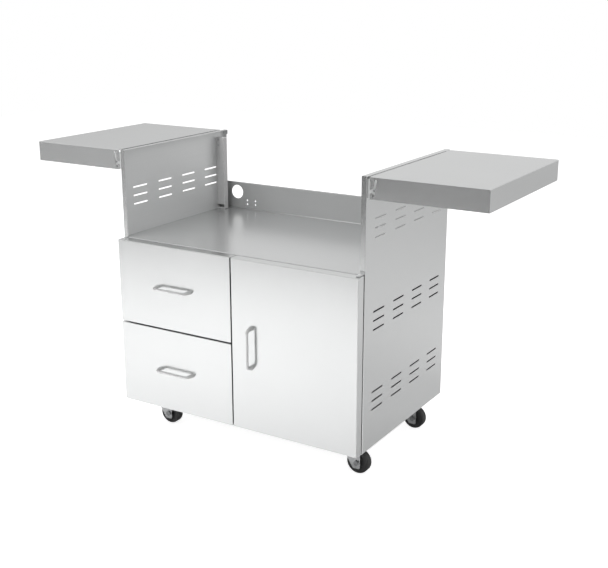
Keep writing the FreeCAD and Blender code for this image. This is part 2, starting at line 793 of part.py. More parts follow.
def shelf_brackets(label, side):
    """Angle brackets inside the shelf's front and rear skirts, bolted to the side panel."""
    bracket = new_body(f"{label}_front", f"{side}*half_width", "panel_front + plate_plane", "panel_top")
    face = new_sketch(bracket, "bracket_face", "XZ")
    rectangle(face, "0", "-bracket_top", f"{side}*bracket_reach", "-bracket_bottom")
    plate = pad(face, "bracket_sheet")
    tip = side * value("bracket_reach")
    fillet(plate, "bracket_corner", lambda edge: lies(edge, "x", tip) and edge.BoundBox.YLength > TOUCH)
    wing = new_sketch(bracket, "bracket_wing", "YZ")
    rectangle(wing, "0", "-bracket_top", "bracket_flange", "-bracket_bottom")
    pad(wing, "bracket_sheet", side)
    studs = new_sketch(bracket, "stud_holes", "XZ")
    circle(studs, f"{side}*(shelf_gap + pivot_x)", "pivot_z - shelf_skirt", "guide_width")
    circle(studs, f"{side}*(shelf_gap + lock_x)", "lock_z - shelf_skirt", "guide_width - 2*lock_play")
    pocket(studs, "2*bracket_sheet")
    bolts = new_sketch(bracket, "wing_holes", "YZ")
    for drop in ("bolt_drop", "bolt_drop + bolt_pitch"):
        circle(bolts, "bolt_y - sheet - plate_gap", f"-({drop})", "bolt_diameter + 2*bolt_clearance")
    pocket(bolts, "2*bracket_sheet")
    return group(label, bracket, mirrored(bracket, "y", "shelf_middle"))


def stud(label, side, x, z, diameter):
    """Headless stud through a shelf's skirt and bracket, with a nut behind the bracket."""
    body = new_body(label, f"{side}*(half_width + shelf_gap + {x})", "panel_front + shelf_front + stud_recess",
                    f"panel_top - shelf_skirt + {z}")
    section = new_sketch(body, "stud_section", "XY")
    radius = f"({diameter})/2"
    end = "stud_length + nut_height"
    outline(section, ("0", "0"), (radius, "0"), (radius, "stud_length"), ("nut_diameter/2", "stud_length"),
            ("nut_diameter/2", end), ("0", end))
    revolve(section, "Y")
    return body


def shelf_studs(label, side):
    """Pivot and lock studs at the front and rear of a shelf."""
    pivot = stud(f"{label}_pivot", side, "pivot_x", "pivot_z", "guide_width - 2*running_clearance")
    lock = stud(f"{label}_lock", side, "lock_x", "lock_z", "guide_width - 2*lock_play - 2*running_clearance")
    images = [mirrored(body, "y", "shelf_middle") for body in (pivot, lock)]
    return group(label, pivot, lock, *images)


def bracket_bolts():
    """Studs pressed flush into the side panels, with the nuts that hold the shelf brackets on."""
    bolt = new_body("right_bracket_bolts", "half_width", "panel_front + shelf_front + bolt_y",
                    "panel_top - bolt_drop - bolt_pitch")
    section = new_sketch(bolt, "bolt_section", "XY")
    head, shank = "bolt_head/2", "bolt_diameter/2"
    crown = "bracket_sheet + bolt_head_height"
    outline(section, (crown, "0"), (crown, head), ("bracket_sheet", head), ("bracket_sheet", shank),
            ("-sheet", shank), ("-sheet", "0"))
    repeat(revolve(section, "X"), ("Y", 2, "shelf_depth - 2*bolt_y"), ("Z", 2, "bolt_pitch"))
    return group("shelf_bracket_bolts", bolt, mirrored(bolt, "x", "0"))


def caster_plate(label, x, y):
    """Top plate of a caster with its upper race and kingpin."""
    plate = new_body(label, x, y, "plate_top")
    plan = new_sketch(plate, "plate_plan", "XY")
    half = "plate_size/2"
    rectangle(plan, f"-{half}", f"-{half}", half, half)
    square = pad(plan, "plate_sheet", -1)
    fillet(square, "plate_corner", lambda edge: edge.BoundBox.ZLength > TOUCH)
    holes = new_sketch(plate, "screw_holes", "XY")
    for x_sign in "-+":
        for y_sign in "-+":
            circle(holes, f"{x_sign}screw_spacing/2", f"{y_sign}screw_spacing/2",
                   "screw_diameter + 2*bolt_clearance")
    pocket(holes)
    race = new_sketch(plate, "upper_race", "XY")
    circle(race, "0", "0", "upper_race")
    pad(race, "plate_top - race_top - race_gap", -1)
    kingpin = new_sketch(plate, "kingpin", "XY")
    circle(kingpin, "0", "0", "kingpin_diameter")
    reach = "plate_top - crown_height + fork_sheet + fit"
    pad(kingpin, reach, -1)
    head = new_sketch(plate, "kingpin_head", "XY", f"-({reach})")
    circle(head, "0", "0", "kingpin_head")
    pad(head, "kingpin_head_height", -1)
    return keep(label, plate)


def caster_fork(label, x, y):
    """Pressed fork with a lower race on its crown and two tapered cheeks that hold the axle."""
    fork = new_body(label, x, y)
    side = new_sketch(fork, "fork_side", "XZ", "-fork_width/2")
    heel, toe = "caster_trail - fork_end", "caster_trail + fork_end"
    foot = "wheel_radius - fork_drop"
    outline(side, ("-crown_back", "crown_height"), ("-crown_back", "crown_height - crown_cheek"),
            (heel, foot), (toe, foot), (toe, "crown_height"))
    block = pad(side, "fork_width")
    crown, low = value("crown_height"), value(foot)
    bent = fillet(block, "fork_sheet", lambda edge: lies(edge, "z", crown) and edge.BoundBox.YLength < TOUCH)
    fillet(bent, "fork_round", lambda edge: lies(edge, "z", low) and edge.BoundBox.XLength < TOUCH)
    inside = new_sketch(fork, "fork_inside", "YZ")
    rectangle(inside, "-fork_gap/2", "0", "fork_gap/2", "crown_height - fork_sheet")
    pocket(inside)
    race = new_sketch(fork, "lower_race", "XY", "crown_height - fork_sheet")
    circle(race, "0", "0", "race_diameter")
    pad(race, "race_height + fork_sheet")
    hole = new_sketch(fork, "kingpin_hole", "XY", "crown_height")
    circle(hole, "0", "0", "kingpin_diameter + 2*running_clearance")
    pocket(hole, "race_height + fork_sheet")
    axle_hole = new_sketch(fork, "axle_hole", "XZ")
    circle(axle_hole, "caster_trail", "wheel_radius", "axle_diameter")
    pocket(axle_hole)
    return keep(label, fork)


def caster_axle(label, x, y):
    """Riveted axle with a head on each side of the fork."""
    axle = new_body(label, x, y, "wheel_radius")
    section = new_sketch(axle, "axle_section", "XY")
    radius, head = "axle_diameter/2", "axle_head/2"
    inside, end = "fork_width/2", "(fork_width/2 + axle_head_height)"
    outline(section, ("0", f"-{end}"), (head, f"-{end}"), (head, f"-{inside}"), (radius, f"-{inside}"),
            (radius, inside), (head, inside), (head, end), ("0", end))
    revolve(section, "Y")
    return keep(label, axle)


def wheel_hub(label, x, y):
    """Moulded hub with a thin web between its boss and its rim."""
    hub = new_body(label, x, y, "wheel_radius")
    section = new_sketch(hub, "hub_section", "XY")
    bore, boss = "axle_diameter/2 + running_clearance", "hub_diameter/2"
    rim, inner = "tyre_inner/2", "tyre_inner/2 - rim_wall"
    half = [(bore, "hub_width/2"), (boss, "hub_width/2"), (boss, "web_width/2"), (inner, "web_width/2"),
            (inner, "rim_width/2"), (rim, "rim_width/2")]
    outline(section, *half, *((radius, f"-{width}") for radius, width in reversed(half)))
    revolve(section, "Y")
    return keep(label, hub)


def tyre(label, x, y):
    """Tyre with chamfered and rounded shoulders."""
    ring = new_body(label, x, y, "wheel_radius")
    section = new_sketch(ring, "tyre_section", "XY")
    inner, shoulder = "tyre_inner/2", "wheel_radius - tyre_shoulder"
    tread = "(tyre_width/2 - tyre_shoulder)"
    half = [(inner, "rim_width/2"), (shoulder, "tyre_width/2"), ("wheel_radius", tread)]
    outline(section, *half, *((radius, f"-{width}") for radius, width in reversed(half)))
    turned = revolve(section, "Y")
    tread_level = value(tread)
    fillet(turned, "tyre_round", lambda edge: lies(edge, "y", tread_level) or lies(edge, "y", -tread_level))
    return keep(label, ring)


def caster(place, x, y):
    """All the pieces of one caster; its wheel trails towards the cart's right."""
    wheel_x = f"{x} + caster_trail"
    caster_plate(f"{place}_caster_plate", x, y)
    caster_fork(f"{place}_caster_fork", x, y)
    caster_axle(f"{place}_caster_axle", wheel_x, y)
    wheel_hub(f"{place}_wheel_hub", wheel_x, y)
    tyre(f"{place}_tyre", wheel_x, y)


def caster_screws():
    """Screws that hold the caster plates under the base pan."""
    screw = new_body("caster_screws", "caster_inset_x - half_width - screw_spacing/2",
                     "panel_front + caster_inset_front - screw_spacing/2", "plate_top - plate_sheet")
    section = new_sketch(screw, "screw_section", "XZ")
    head, shank = "screw_head/2", "screw_diameter/2"
    tip = "plate_sheet + sheet + screw_tail"
    outline(section, ("0", "-screw_head_height"), (head, "-screw_head_height"), (head, "0"), (shank, "0"),
            (shank, tip), ("0", tip))
    repeat(revolve(section, "Z"), *caster_grid())
    return keep("caster_screws", screw)


def cabinet():
    """Fixed sheet work of the cart."""
    side_panel("left_side_panel", -1)
    side_panel("right_side_panel", 1)
    base_pan()
    back_panel()
    grill_deck()
    centre_divider()
    rear_channel("left_rear_channel", -1)
    rear_channel("right_rear_channel", 1)
    slide_post("front_slide_post", "front_post_y")
    slide_post("rear_slide_post", "rail_setback + rail_length - rear_post_inset")


def door():
    """Door with its hinges, catch and strike."""
    door_skin()
    front_liner("door_liner", "front_centre", "front_bottom", "front_rise")
    handle_x = "front_split/2 + door_handle_inset"
    bow_handle("door_handle", handle_x, "front_bottom + front_rise/2", True)
    hinge_pins()
    hinge_bracket("door_top_bracket", "caster_height + front_top + hinge_gap", "sheet + bracket_sheet", True)
    hinge_bracket("door_bottom_bracket", "caster_height - bracket_sheet", "hinge_tail", False)
    magnet_catch()
    strike_plate()


def shelves():
    """Both side shelves with their brackets, studs and bolts."""
    for name, side in (("left", -1), ("right", 1)):
        shelf(f"{name}_shelf", side)
        shelf_brackets(f"{name}_shelf_brackets", side)
        shelf_studs(f"{name}_shelf_studs", side)
    bracket_bolts()


def casters():
    """Four swivel casters and their screws."""
    for depth, y in (("front", "caster_inset_front"), ("rear", "panel_depth - caster_inset_back")):
        for name, side in (("left", -1), ("right", 1)):
            caster(f"{depth}_{name}", f"{side}*(half_width - caster_inset_x)", f"panel_front + {y}")
    caster_screws()


def write():
    """Check every object and every sub-part's shape, then write the shapes."""
    doc.recompute()
    failed = [thing.Label for thing in doc.Objects if {"Invalid", "Error"} & set(thing.State)]
    failed += [piece.Label for piece in pieces if piece.Shape.isNull() or not piece.Shape.isValid()]
    if failed:
        raise ValueError(f"failed: {failed}")
    os.makedirs("parts", exist_ok=True)
    for piece in pieces:
        piece.Shape.exportStep(f"parts/{piece.Label}.step")
    print(len(pieces), "sub-parts")


cabinet()
drawer("lower", "front_bottom")
drawer("upper", "front_bottom + drawer_rise + front_split")
door()
shelves()
casters()
write()
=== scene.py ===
"""Dress the grill cart: finishes for its sheet, handles, slides, hinges and casters, and the stage."""
import math

import bmesh
import bpy
from bpy.props import FloatProperty, FloatVectorProperty, PointerProperty, StringProperty
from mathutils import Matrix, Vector


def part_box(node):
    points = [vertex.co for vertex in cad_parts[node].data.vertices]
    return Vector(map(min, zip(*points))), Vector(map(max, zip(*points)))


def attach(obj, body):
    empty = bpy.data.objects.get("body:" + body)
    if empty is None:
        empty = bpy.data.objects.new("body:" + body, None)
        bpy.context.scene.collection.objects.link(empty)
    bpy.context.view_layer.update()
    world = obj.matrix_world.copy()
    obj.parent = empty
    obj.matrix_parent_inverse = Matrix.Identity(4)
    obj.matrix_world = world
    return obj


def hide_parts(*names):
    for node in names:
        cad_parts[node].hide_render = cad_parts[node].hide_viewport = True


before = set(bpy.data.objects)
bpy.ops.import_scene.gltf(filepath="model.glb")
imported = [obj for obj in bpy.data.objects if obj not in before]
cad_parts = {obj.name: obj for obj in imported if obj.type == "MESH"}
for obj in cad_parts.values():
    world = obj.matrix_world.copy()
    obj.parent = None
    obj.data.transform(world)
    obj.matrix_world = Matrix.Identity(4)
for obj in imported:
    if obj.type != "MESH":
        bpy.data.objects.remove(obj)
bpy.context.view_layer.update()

bl_info = {
    "name": "Grill Cart",
    "version": (1, 0, 0),
    "blender": (4, 5, 0),
    "location": "View3D > Sidebar > Grill Cart",
    "description": "Finishes and stage for a folding-shelf grill cart in stainless sheet",
    "category": "Object",
}

MM = 0.001

# Which sub-parts share a finish and the way their sheet was brushed
FRONTS = ["upper_drawer_front", "lower_drawer_front", "door_skin"]
SIDES = ["left_side_panel", "right_side_panel", "shelf_bracket_bolts"]
CHANNELS = ["left_rear_channel", "right_rear_channel"]
SHELVES = ["left_shelf", "right_shelf"]
INNER_FLATS = ["back_panel", "base_pan"]
INNER_SHEETS = ["centre_divider", "front_slide_post", "rear_slide_post", "upper_drawer_liner",
                "lower_drawer_liner", "door_liner", "upper_drawer_box", "lower_drawer_box"]
HANDLES = {"upper_drawer_bow": ("upper_drawer_handle", "upper_drawer", False),
           "lower_drawer_bow": ("lower_drawer_handle", "lower_drawer", False),
           "door_bow": ("door_handle", "door", True)}
SLIDES = [f"{drawer}_{member}_rails" for drawer in ("upper", "lower")
          for member in ("outer", "middle", "inner")]
HINGE_PARTS = ["door_top_bracket", "door_bottom_bracket", "door_hinge_pins", "door_strike",
               "left_shelf_brackets", "right_shelf_brackets"]
FASTENERS = ["left_shelf_studs", "right_shelf_studs", "caster_screws"]
CORNERS = ["front_left", "front_right", "rear_left", "rear_right"]

# Light levels of the stage, where 1 is white
ROOM_LIGHT = 0.45
CEILING_LEVEL = 0.85
FLOOR_SEEN = 0.85
FLOOR_MIRRORED = 0.2
WALL_LEFT = 0.41
WALL_RIGHT = 0.17
SIDE_LEVEL = 0.65
SCRIM_LEVEL = 1.25
FLOOR_PAINT = "E2E2E2"

# How much softer the reflections are in each other sheet than in the fronts
SIDE_SOFTER = 0.06
DECK_SOFTER = 0.04
INNER_SOFTER = 0.1

# The deck's finer brushing stretches reflections less, and it shines less
DECK_STRETCH = 0.2
DECK_METAL = 0.75

# Steel shines less at a glancing view than a plain metal shader does
EDGE_TINT = (0.9, 0.9, 0.9, 1)

# The inside of a cabinet sheet keeps the mill's cloudy finish: how much rougher it is, and how metallic
MILL_RISE = 0.2
MILL_METAL = 0.5
CART_MIDDLE = (0.0, 0.0, 0.5)


def linear(code):
    """Turn an sRGB hex code into linear red, green and blue."""
    levels = [int(code[place:place + 2], 16) / 255 for place in (0, 2, 4)]
    return tuple(v / 12.92 if v <= 0.04045 else ((v + 0.055) / 1.055) ** 2.4 for v in levels)


def node(tree, kind, settings=None, links=None):
    """Add a node, set its properties or sockets by name or number, and link sockets to outputs."""
    added = tree.nodes.new(kind)
    for name, setting in (settings or {}).items():
        if isinstance(name, str) and hasattr(added, name):
            setattr(added, name, setting)
        else:
            added.inputs[name].default_value = setting
    for name, source in (links or {}).items():
        tree.links.new(source, added.inputs[name])
    return added


def new_material(name):
    """Start a material with an empty node tree."""
    material = bpy.data.materials.new(name)
    material.use_nodes = True
    material.node_tree.nodes.clear()
    return material


def finish(names, material):
    """Put a material in the slot of each of these sub-parts of the frame."""
    for name in names:
        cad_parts[name].material_slots[0].material = material


def mill_side(tree):
    """Value that is 1 on faces that look towards the middle of the cart, and 0 on the brushed outside."""
    surface = node(tree, "ShaderNodeNewGeometry")
    inward = node(tree, "ShaderNodeVectorMath", {"operation": "SUBTRACT", 0: CART_MIDDLE},
                  {1: surface.outputs["Position"]})
    facing = node(tree, "ShaderNodeVectorMath", {"operation": "DOT_PRODUCT"},
                  {0: surface.outputs["Normal"], 1: inward.outputs["Vector"]})
    return node(tree, "ShaderNodeMath", {"operation": "GREATER_THAN", 1: 0.0},
                {0: facing.outputs["Value"]}).outputs["Value"]


def brushed_steel(name, code, grain, roughness, stretch=0.5, metal=1.0, one_sided=False):
    """Satin stainless steel: fine parallel scratches that stretch reflections across the way it was brushed.

    The scratches are about 0.1 mm apart, too fine to show here, so they are drawn about 1.5 mm apart. A sheet
    brushed on one side is cloudy on the other.
    """
    material = new_material(name)
    tree = material.node_tree
    scratch_length, scratch_gap, scratch_depth = 260 * MM, 1.5 * MM, 0.1 * MM
    smear_size = 180 * MM
    tone_spread, gloss_spread, bump_strength = 0.015, 0.015, 0.004
    noise_low, noise_high = 0.3, 0.7
    place = node(tree, "ShaderNodeTexCoord")
    scales = [1 / scratch_length if axis == grain else 1 / scratch_gap for axis in "XYZ"]
    stretched = node(tree, "ShaderNodeMapping", {"Scale": scales}, {"Vector": place.outputs["Object"]})
    scratches = node(tree, "ShaderNodeTexNoise", {"Scale": 1.0, "Detail": 3.0},
                     {"Vector": stretched.outputs["Vector"]})
    handling = node(tree, "ShaderNodeTexNoise", {"Scale": 1 / smear_size, "Detail": 2.0},
                    {"Vector": place.outputs["Object"]})
    base = linear(code)
    colour = node(tree, "ShaderNodeValToRGB", None, {"Fac": scratches.outputs["Fac"]})
    dark, light = colour.color_ramp.elements
    dark.position, light.position = noise_low, noise_high
    dark.color = (*((1 - tone_spread) * v for v in base), 1)
    light.color = (*((1 + tone_spread) * v for v in base), 1)
    both = node(tree, "ShaderNodeMath", {"operation": "ADD"},
                {0: scratches.outputs["Fac"], 1: handling.outputs["Fac"]})
    rough = node(tree, "ShaderNodeMapRange",
                 {"From Min": 2 * noise_low, "From Max": 2 * noise_high,
                  "To Min": roughness - gloss_spread, "To Max": roughness + gloss_spread},
                 {"Value": both.outputs["Value"]})
    bump = node(tree, "ShaderNodeBump", {"Strength": bump_strength, "Distance": scratch_depth},
                {"Height": scratches.outputs["Fac"]})
    # A small slant keeps the brushing off the normal of every flat face
    slant = {"X": 0.02, "Y": 0.03, "Z": 0.04}
    along = [1.0 if axis == grain else slant[axis] for axis in "XYZ"]
    brushed = node(tree, "ShaderNodeVectorTransform",
                   {"vector_type": "VECTOR", "convert_from": "OBJECT", "convert_to": "WORLD",
                    "Vector": along})
    surface = node(tree, "ShaderNodeNewGeometry")
    across = node(tree, "ShaderNodeVectorMath", {"operation": "CROSS_PRODUCT"},
                  {0: surface.outputs["Normal"], 1: brushed.outputs["Vector"]})
    shader = node(tree, "ShaderNodeBsdfPrincipled",
                  {"Metallic": metal, "Anisotropic": stretch, "Specular Tint": EDGE_TINT},
                  {"Base Color": colour.outputs["Color"], "Roughness": rough.outputs["Result"],
                   "Normal": bump.outputs["Normal"], "Tangent": across.outputs["Vector"]})
    if one_sided:
        inside = mill_side(tree)
        duller = node(tree, "ShaderNodeMath", {"operation": "MULTIPLY_ADD", 1: MILL_RISE},
                      {0: inside, 2: rough.outputs["Result"]})
        bare = node(tree, "ShaderNodeMapRange", {"To Min": metal, "To Max": MILL_METAL}, {"Value": inside})
        tree.links.new(duller.outputs["Value"], shader.inputs["Roughness"])
        tree.links.new(bare.outputs["Result"], shader.inputs["Metallic"])
    node(tree, "ShaderNodeOutputMaterial", None, {"Surface": shader.outputs["BSDF"]})
    return material


def plated_steel(name, code, roughness, metal=1.0):
    """Zinc on pressed steel: a faint crystal mottle under an even, soft shine, chalky where metal is low."""
    material = new_material(name)
    tree = material.node_tree
    crystal_size, cloud_size = 6 * MM, 25 * MM
    crystal_shade, gloss_spread = 0.9, 0.06
    place = node(tree, "ShaderNodeTexCoord")
    crystal = node(tree, "ShaderNodeTexVoronoi", {"Scale": 1 / crystal_size},
                   {"Vector": place.outputs["Object"]})
    cloud = node(tree, "ShaderNodeTexNoise", {"Scale": 1 / cloud_size, "Detail": 3.0},
                 {"Vector": place.outputs["Object"]})
    base = linear(code)
    colour = node(tree, "ShaderNodeValToRGB", None, {"Fac": crystal.outputs["Distance"]})
    dark, light = colour.color_ramp.elements
    dark.color = (*(crystal_shade * v for v in base), 1)
    light.color = (*base, 1)
    rough = node(tree, "ShaderNodeMapRange",
                 {"To Min": roughness - gloss_spread, "To Max": roughness + gloss_spread},
                 {"Value": cloud.outputs["Fac"]})
    shader = node(tree, "ShaderNodeBsdfPrincipled", {"Metallic": metal},
                  {"Base Color": colour.outputs["Color"], "Roughness": rough.outputs["Result"]})
    node(tree, "ShaderNodeOutputMaterial", None, {"Surface": shader.outputs["BSDF"]})
    return material


def moulded(name, code, roughness, grit):
    """Moulded rubber or plastic: a fine matt grain from the tool, with paler and darker specks."""
    material = new_material(name)
    tree = material.node_tree
    tone_spread, gloss_spread = 0.2, 0.08
    bump_strength, grain_depth = 0.15, 0.1 * MM
    polymer_ior = 1.5
    place = node(tree, "ShaderNodeTexCoord")
    grain = node(tree, "ShaderNodeTexNoise", {"Scale": 1 / (grit * MM), "Detail": 4.0},
                 {"Vector": place.outputs["Object"]})
    base = linear(code)
    colour = node(tree, "ShaderNodeValToRGB", None, {"Fac": grain.outputs["Fac"]})
    dark, light = colour.color_ramp.elements
    dark.color = (*((1 - tone_spread) * v for v in base), 1)
    light.color = (*((1 + tone_spread) * v for v in base), 1)
    rough = node(tree, "ShaderNodeMapRange",
                 {"To Min": roughness - gloss_spread, "To Max": roughness + gloss_spread},
                 {"Value": grain.outputs["Fac"]})
    bump = node(tree, "ShaderNodeBump", {"Strength": bump_strength, "Distance": grain_depth},
                {"Height": grain.outputs["Fac"]})
    shader = node(tree, "ShaderNodeBsdfPrincipled", {"IOR": polymer_ior},
                  {"Base Color": colour.outputs["Color"], "Roughness": rough.outputs["Result"],
                   "Normal": bump.outputs["Normal"]})
    node(tree, "ShaderNodeOutputMaterial", None, {"Surface": shader.outputs["BSDF"]})
    return material


def add_piece(name, mesh, body, material):
    """Add a piece that moves with a body and takes the finish it is given."""
    mesh.materials.append(material)
    piece = bpy.data.objects.new(name, mesh)
    bpy.context.scene.collection.objects.link(piece)
    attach(piece, body)
    return piece


def skin(name, made, rings, smooth_sides):
    """Join closed rings of points in order and close both ends; the first few sides are shaded smooth."""
    sides = len(rings[0])
    for near, far in zip(rings, rings[1:]):
        for step in range(sides):
            after = (step + 1) % sides
            face = made.faces.new((near[step], near[after], far[after], far[step]))
            face.smooth = step < smooth_sides
    made.faces.new(rings[0])
    made.faces.new(rings[-1])
    bmesh.ops.recalc_face_normals(made, faces=made.faces)
    mesh = bpy.data.meshes.new(name)
    made.to_mesh(mesh)
    made.free()
    return mesh


def dome_screw(name, place, radius):
    """Turned dome-head screw that faces forward, with a flange, a crown and a round-bottomed recess."""
    flange = [(1.0, 0.0), (1.0, 0.16), (0.84, 0.24)]
    crown = [(0.8, 0.4), (0.6, 0.62), (0.34, 0.72)]
    recess = [(0.3, 0.5), (0.12, 0.42)]
    sides = 24
    made = bmesh.new()
    rings = []
    for reach, rise in flange + crown + recess:
        ring = []
        for step in range(sides):
            angle = 2 * math.pi * step / sides
            spot = (reach * math.cos(angle), -rise, reach * math.sin(angle))
            ring.append(made.verts.new(Vector(place) + radius * Vector(spot)))
        rings.append(ring)
    return skin(name, made, rings, sides)


def corner_seam(name, start, end, radius):
    """Concave bead along the corner of a flat piece and an upright one behind it."""
    made = bmesh.new()
    arc_steps = 8
    section = [(radius * (math.sin(turn) - 1), radius * (1 - math.cos(turn)))
               for turn in (0.5 * math.pi * step / arc_steps for step in range(arc_steps + 1))]
    section.append((0.0, 0.0))
    ends = []
    for corner in (start, end):
        ends.append([made.verts.new(Vector(corner) + Vector((0.0, back, rise))) for back, rise in section])
    return skin(name, made, ends, arc_steps)


def bow_line(half, reach, bend):
    """List the inner line of half a bow, from its foot to its grip: place along, place out, and turn."""
    leg_steps, bend_steps = 6, 8
    rise = reach - bend
    line = [(half, rise * step / leg_steps, 0.0) for step in range(leg_steps)]
    for step in range(bend_steps + 1):
        turn = 0.5 * math.pi * step / bend_steps
        line.append((half - bend * (1 - math.cos(turn)), rise + bend * math.sin(turn), turn))
    return line


def bow_handle(name, bar, upright, shape):
    """Cast bow in the place of a plain bar: a slim grip on two legs that flare to oval feet."""
    low, high = (Vector(corner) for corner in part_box(bar))
    along, across = Vector((1, 0, 0)), Vector((0, 0, 1))
    if upright:
        along, across = across, along
    outward = Vector((0, -1, 0))
    foot = Vector(((low.x + high.x) / 2, high.y, (low.z + high.z) / 2))
    half = (high - low).dot(along) / 2 - shape.leg_inset
    # The flare makes the bends stand a little prouder than the grip
    bend_swell = 0.4 * MM
    line = bow_line(half, high.y - low.y - shape.grip - bend_swell, shape.bow_bend)
    sides, squareness = 20, 0.75
    made = bmesh.new()
    rings = []
    for side in (1, -1):
        for index in range(len(line))[::side]:
            place, out, turn = line[index]
            flare = 1 - index / (len(line) - 1)
            thick = shape.grip + flare * (shape.foot_length - shape.grip)
            wide = shape.grip + flare * (shape.foot_width - shape.grip)
            normal = side * math.cos(turn) * along + math.sin(turn) * outward
            middle = foot + side * place * along + out * outward + 0.5 * thick * normal
            ring = []
            for step in range(sides):
                angle = 2 * math.pi * step / sides
                round_in, round_across = (math.copysign(abs(v) ** squareness, v)
                                          for v in (math.cos(angle), math.sin(angle)))
                spot = middle + 0.5 * thick * round_in * normal + 0.5 * wide * round_across * across
                ring.append(made.verts.new(spot))
            rings.append(ring)
    return skin(name, made, rings, sides)


class CartFinish(bpy.types.PropertyGroup):
    """Colours and gloss that a user would change."""
    sheet: StringProperty(name="Sheet", description="Stainless sheet, sRGB hex", default="D7D8D8")
    sheet_roughness: FloatProperty(name="Sheet roughness", description="Softness of the sheet's reflections",
                                   default=0.2, min=0.0, max=1.0, subtype="FACTOR")
    # The deck's colour is the stainless sheet's colour painted darker: painted shade for the deck inside the
    # panels
    deck: StringProperty(name="Deck", description="Deck under the grill head, sRGB hex", default="C4C5C5")
    # The back panel and base pan take the stainless sheet's colour painted darker: painted shade for sheets
    # deep inside the cart
    back: StringProperty(name="Back", description="Back panel and base pan, sRGB hex", default="B2B3B3")
    channel: StringProperty(name="Channels", description="Galvanised channels, sRGB hex", default="C6C6C6")
    bow: StringProperty(name="Handles", description="Bow handles, sRGB hex", default="D0D0D0")
    plating: StringProperty(name="Plating", description="Plated steel, sRGB hex", default="B4B5B6")
    axle: StringProperty(name="Axles", description="Plated axles, sRGB hex", default="8C8D8E")
    rubber: StringProperty(name="Tyres", description="Tyre rubber, sRGB hex", default="393939")
    hub: StringProperty(name="Hubs", description="Wheel hub plastic, sRGB hex", default="3A3A3B")
    catch: StringProperty(name="Catch", description="Catch housing, sRGB hex", default="26262A")


class CartHandles(bpy.types.PropertyGroup):
    """Sizes of the bow handles that a user would change."""
    grip: FloatProperty(name="Grip", description="Thickness of the grip", default=7.0 * MM, unit="LENGTH")
    foot_length: FloatProperty(name="Foot length", description="Length of a foot along the handle",
                               default=16.0 * MM, unit="LENGTH")
    foot_width: FloatProperty(name="Foot width", description="Width of a foot across the handle",
                              default=10.0 * MM, unit="LENGTH")
    leg_inset: FloatProperty(name="Leg inset", description="From the bar's end to the inner face of a leg",
                             default=13.0 * MM, unit="LENGTH")
    bow_bend: FloatProperty(name="Bend", description="Radius inside the bow's corners", default=7.0 * MM,
                            unit="LENGTH")


class CartStage(bpy.types.PropertyGroup):
    """Camera and light that a user would change."""
    camera_place: FloatVectorProperty(name="Camera", description="Camera position", subtype="TRANSLATION",
                                      unit="LENGTH", default=(1.7060, -2.6458, 1.4107))
    camera_tilt: FloatProperty(name="Tilt", description="Camera tilt from straight down", subtype="ANGLE",
                               default=math.radians(73.651))
    camera_turn: FloatProperty(name="Turn", description="Camera turn about the vertical", subtype="ANGLE",
                               default=math.radians(31.484))
    lens: FloatProperty(name="Lens", description="Focal length on a 36 mm sensor", default=60.85, min=10.0)
    room_end: FloatProperty(name="Room end", description="Distance to the grey end of the room in front",
                            default=2.6, unit="LENGTH")
    key_level: FloatProperty(name="Key light", description="Power of the light in front of the cart",
                             default=72.0, unit="POWER")
    fill_level: FloatProperty(name="Fill light", description="Power of the light behind the cart",
                              default=30.0, unit="POWER")


class GRILLCART_OT_sheet(bpy.types.Operator):
    """Finish the folded stainless sheet of the cabinet, fronts and shelves"""
    bl_idname = "grillcart.sheet"
    bl_label = "Folded sheet"

    def execute(self, context):
        look = context.scene.cart_finish
        soft = look.sheet_roughness
        finish(FRONTS, brushed_steel("satin_stainless_fronts", look.sheet, "X", soft))
        finish(SIDES, brushed_steel("satin_stainless_sides", look.sheet, "Y", soft + SIDE_SOFTER,
                                    one_sided=True))
        finish(SHELVES, brushed_steel("satin_stainless_shelves", look.sheet, "X", soft + SIDE_SOFTER))
        # The deck takes a darker copy of the sheet's colour: painted shade inside the panels
        finish(["grill_deck"], brushed_steel("satin_stainless_deck_painted_shade", look.deck, "X", soft + DECK_SOFTER,
                                             stretch=DECK_STRETCH, metal=DECK_METAL))
        # The back panel and base pan take a darker copy of the sheet's colour: painted shade deep inside the
        # cart
        finish(INNER_FLATS, brushed_steel("satin_stainless_back_painted_shade", look.back, "X", soft + SIDE_SOFTER,
                                          one_sided=True))
        finish(INNER_SHEETS, brushed_steel("satin_stainless_inner", look.sheet, "Z", soft + INNER_SOFTER))
        finish(CHANNELS, plated_steel("galvanised_channel", look.channel, roughness=0.5, metal=0.2))
        return {"FINISHED"}


class GRILLCART_OT_trim(bpy.types.Operator):
    """Add the seam behind the deck and the screws at the top of the rear channels"""
    bl_idname = "grillcart.trim"
    bl_label = "Seam and screws"

    def execute(self, context):
        look = context.scene.cart_finish
        bead, head_radius, inset = 2.0 * MM, 3.4 * MM, 10.0 * MM
        drops = (7 * MM, 26 * MM)
        deck_low, deck_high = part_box("grill_deck")
        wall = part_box("back_panel")[0][1]
        ends = [(x, wall, deck_high[2]) for x in (deck_low[0], deck_high[0])]
        blasted = plated_steel("blasted_weld_seam", look.sheet, roughness=0.5, metal=0.8)
        seam = corner_seam("deck_rear_seam", *ends, bead)
        add_piece("deck_rear_seam", seam, "cabinet", blasted)
        steel = plated_steel("zinc_plated_screw", look.plating, roughness=0.3)
        for channel, side in (("left_rear_channel", 0), ("right_rear_channel", 1)):
            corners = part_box(channel)
            x = corners[side][0] + (inset if side == 0 else -inset)
            for number, drop in enumerate(drops, start=1):
                name = f"{channel}_screw_{number}"
                place = (x, corners[0][1], corners[1][2] - drop)
                add_piece(name, dome_screw(name, place, head_radius), "cabinet", steel)
        return {"FINISHED"}


